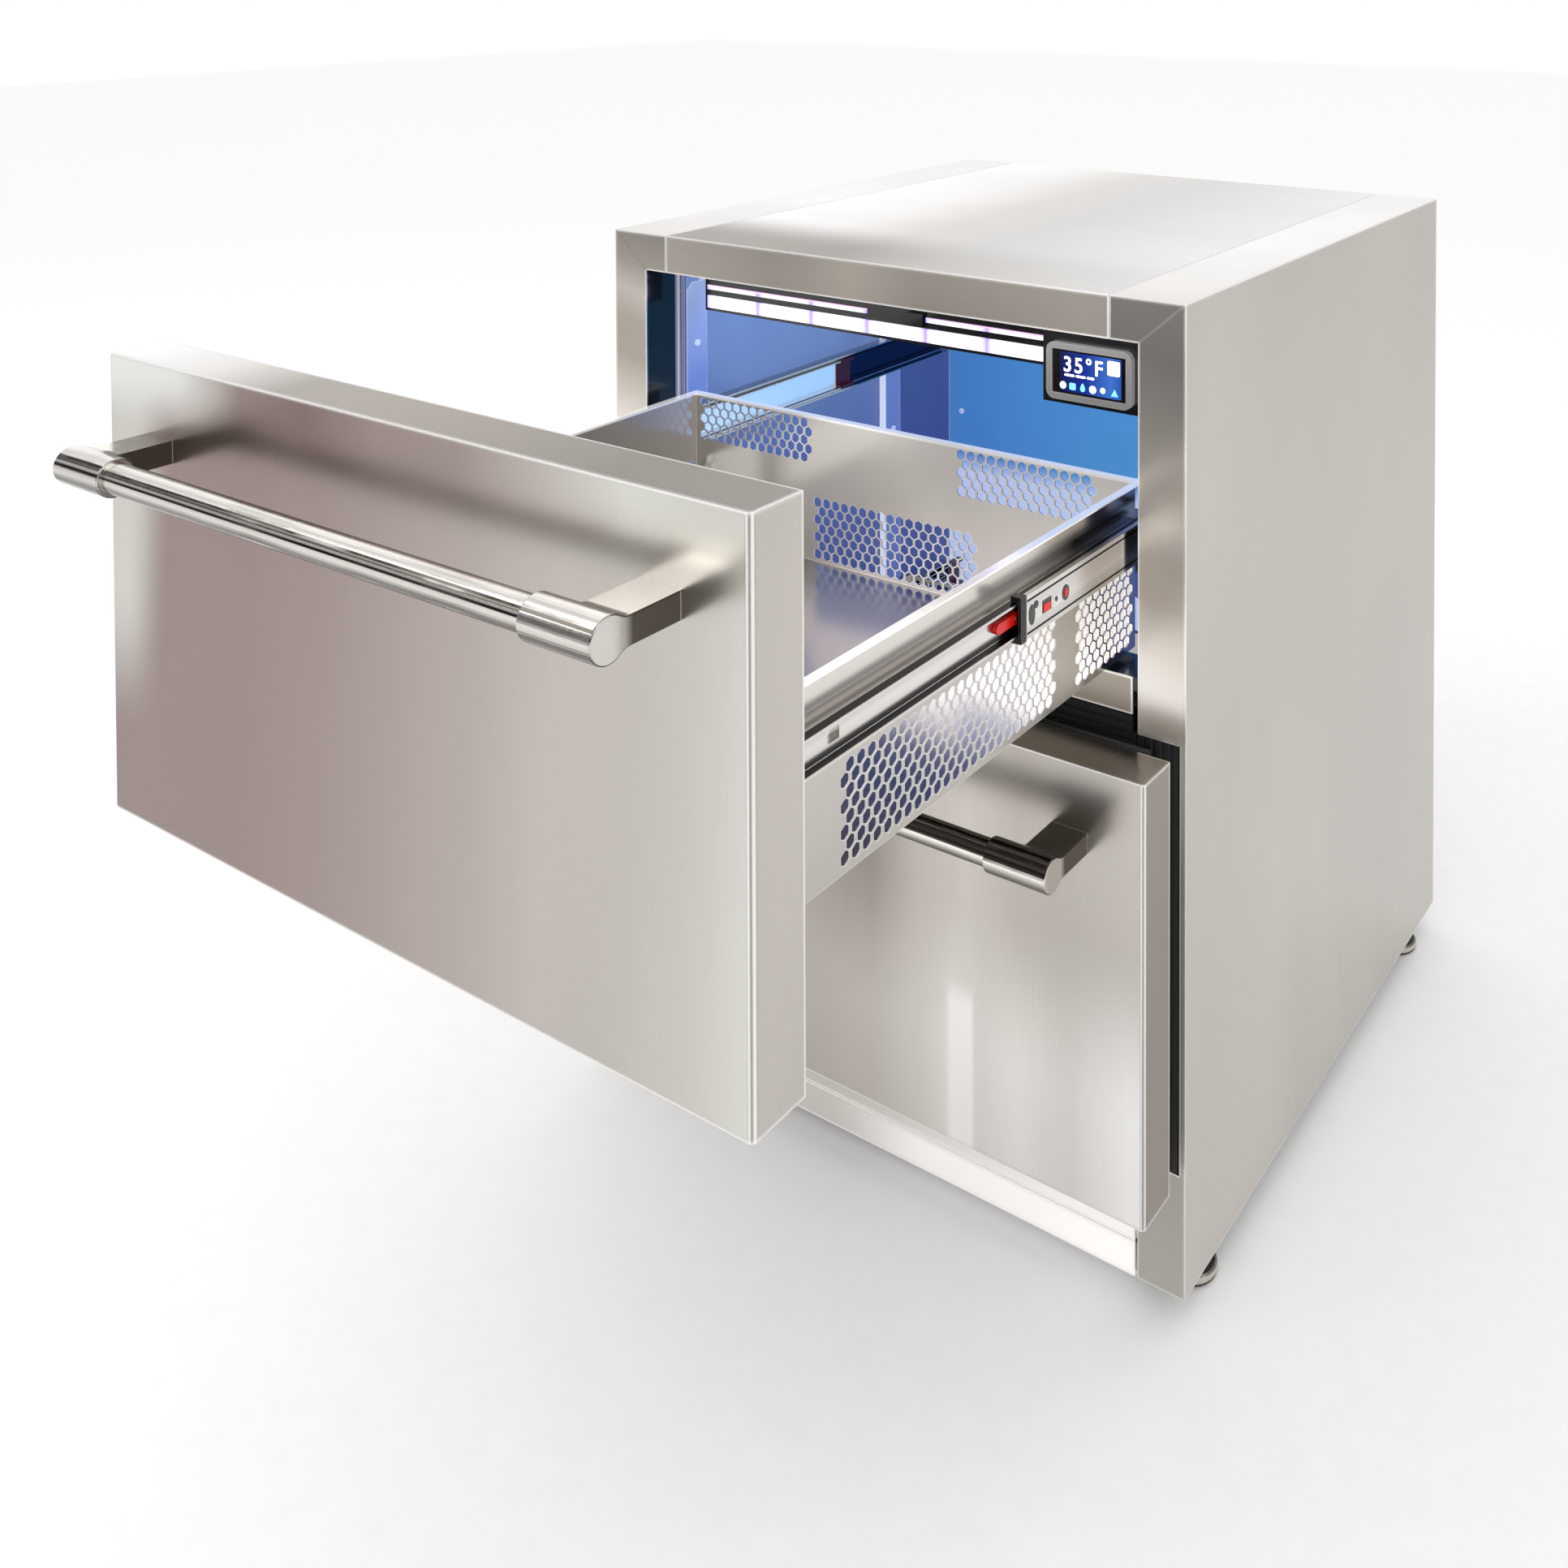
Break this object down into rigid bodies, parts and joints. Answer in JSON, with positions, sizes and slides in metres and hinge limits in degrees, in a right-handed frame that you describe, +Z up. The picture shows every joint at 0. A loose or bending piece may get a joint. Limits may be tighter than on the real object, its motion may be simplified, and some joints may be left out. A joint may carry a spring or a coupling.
{
  "type": "under-counter drawer refrigerator",
  "caption": "Under-counter restaurant fridge with two pull-out drawers on telescopic slides, perforated steel baskets, bar handles and a digital display.",
  "frame": {"origin": "on the floor, straight below the centre of the cabinet's front face", "axes": "+X to the cabinet's right as seen by someone facing its drawers; +Y from the front face towards the back; +Z up"},
  "size_m": [0.683, 1.2335, 0.876],
  "materials": {
    "brushed_steel": "satin",
    "plate_steel": "satin",
    "handle_steel": "polished",
    "basket_steel": "satin",
    "inside_steel": "satin",
    "slide_steel": "satin",
    "galvanised_steel": "matte",
    "black_plastic": "gloss",
    "red_plastic": "gloss",
    "light_window": "satin",
    "display_glass": "gloss",
    "bezel_chrome": "polished",
    "foot_plastic": "matte",
    "seal_rubber": "matte",
    "foam": "matte",
    "coil_aluminium": "satin",
    "compressor_paint": "satin",
    "copper_tube": "satin"
  },
  "bodies": {
    "cabinet": {"base_tray": "galvanised_steel", "cabinet_slides": "slide_steel", "compressor": "compressor_paint", "compressor_mounts": "seal_rubber", "condenser": "coil_aluminium", "control_box": "black_plastic", "cross_rails": "brushed_steel", "display_bezel": "bezel_chrome", "display_housing": "black_plastic", "display_screen": "display_glass", "drain_pan": "black_plastic", "evaporator_coil": "coil_aluminium", "fan_cover": "inside_steel", "fan_motors": "black_plastic", "foam_insulation": "foam", "inner_liner": "inside_steel", "inside_screws": "slide_steel", "jamb_trims": "black_plastic", "kick_plate": "brushed_steel", "light_housing": "black_plastic", "light_windows": "light_window", "lower_face_seal": "seal_rubber", "opening_breakers": "black_plastic", "power_cord": "seal_rubber", "rear_grille": "galvanised_steel", "rear_panel": "galvanised_steel", "refrigerant_pipes": "copper_tube", "side_panel_left": "brushed_steel", "side_panel_right": "brushed_steel", "slide_posts": "inside_steel", "top_panel": "brushed_steel"},
    "upper_drawer": {"upper_front": "brushed_steel", "upper_front_plate": "plate_steel", "upper_front_core": "foam", "upper_gasket": "seal_rubber", "upper_handle_bar": "handle_steel", "upper_handle_brackets": "handle_steel", "upper_basket": "basket_steel", "upper_drawer_slides": "slide_steel"},
    "upper_middle": {"upper_middle_slides": "slide_steel", "upper_slide_ends": "black_plastic"},
    "upper_levers": {"upper_release_levers": "red_plastic"},
    "lower_drawer": {"lower_front": "brushed_steel", "lower_front_plate": "plate_steel", "lower_front_core": "foam", "lower_gasket": "seal_rubber", "lower_handle_bar": "handle_steel", "lower_handle_brackets": "handle_steel", "lower_basket": "basket_steel", "lower_drawer_slides": "slide_steel"},
    "lower_middle": {"lower_middle_slides": "slide_steel", "lower_slide_ends": "black_plastic"},
    "lower_levers": {"lower_release_levers": "red_plastic"},
    "foot_front_left": {"foot_front_left": "foot_plastic"},
    "foot_front_right": {"foot_front_right": "foot_plastic"},
    "foot_rear_left": {"foot_rear_left": "foot_plastic"},
    "foot_rear_right": {"foot_rear_right": "foot_plastic"},
    "evaporator_fan": {"evaporator_fan": "black_plastic"},
    "condenser_fan": {"condenser_fan": "black_plastic"}
  },
  "joints": [
    {"name": "upper_drawer_slide", "type": "slide", "parent": "cabinet", "child": "upper_drawer", "axis": [0, -1, 0], "range_m": [-0.4546, 0]},
    {"name": "upper_middle_slide", "type": "slide", "parent": "cabinet", "child": "upper_middle", "axis": [0, -1, 0], "range_m": [-0.2273, 0]},
    {"name": "upper_release", "type": "hinge", "parent": "upper_drawer", "child": "upper_levers", "pos_m": [0.2815, -0.1673, 0.6595], "axis": [1, 0, 0], "range_deg": [-8, 8]},
    {"name": "lower_drawer_slide", "type": "slide", "parent": "cabinet", "child": "lower_drawer", "axis": [0, -1, 0], "range_m": [0, 0.4546]},
    {"name": "lower_middle_slide", "type": "slide", "parent": "cabinet", "child": "lower_middle", "axis": [0, -1, 0], "range_m": [0, 0.2273]},
    {"name": "lower_release", "type": "hinge", "parent": "lower_drawer", "child": "lower_levers", "pos_m": [0.2815, 0.2873, 0.335], "axis": [1, 0, 0], "range_deg": [-8, 8]},
    {"name": "foot_front_left_screw", "type": "slide", "parent": "cabinet", "child": "foot_front_left", "axis": [0, 0, -1], "range_m": [0, 0.02]},
    {"name": "foot_front_right_screw", "type": "slide", "parent": "cabinet", "child": "foot_front_right", "axis": [0, 0, -1], "range_m": [0, 0.02]},
    {"name": "foot_rear_left_screw", "type": "slide", "parent": "cabinet", "child": "foot_rear_left", "axis": [0, 0, -1], "range_m": [0, 0.02]},
    {"name": "foot_rear_right_screw", "type": "slide", "parent": "cabinet", "child": "foot_rear_right", "axis": [0, 0, -1], "range_m": [0, 0.02]},
    {"name": "evaporator_fan_spin", "type": "hinge", "parent": "cabinet", "child": "evaporator_fan", "pos_m": [0, 0.569, 0.41], "axis": [0, 1, 0], "continuous": true},
    {"name": "condenser_fan_spin", "type": "hinge", "parent": "cabinet", "child": "condenser_fan", "pos_m": [-0.226, 0.525, 0.112], "axis": [0, 1, 0], "continuous": true}
  ],
  "couplings": [
    {"joint": "upper_middle_slide", "follows": "upper_drawer_slide", "ratio": 0.5},
    {"joint": "lower_middle_slide", "follows": "lower_drawer_slide", "ratio": 0.5}
  ]
}
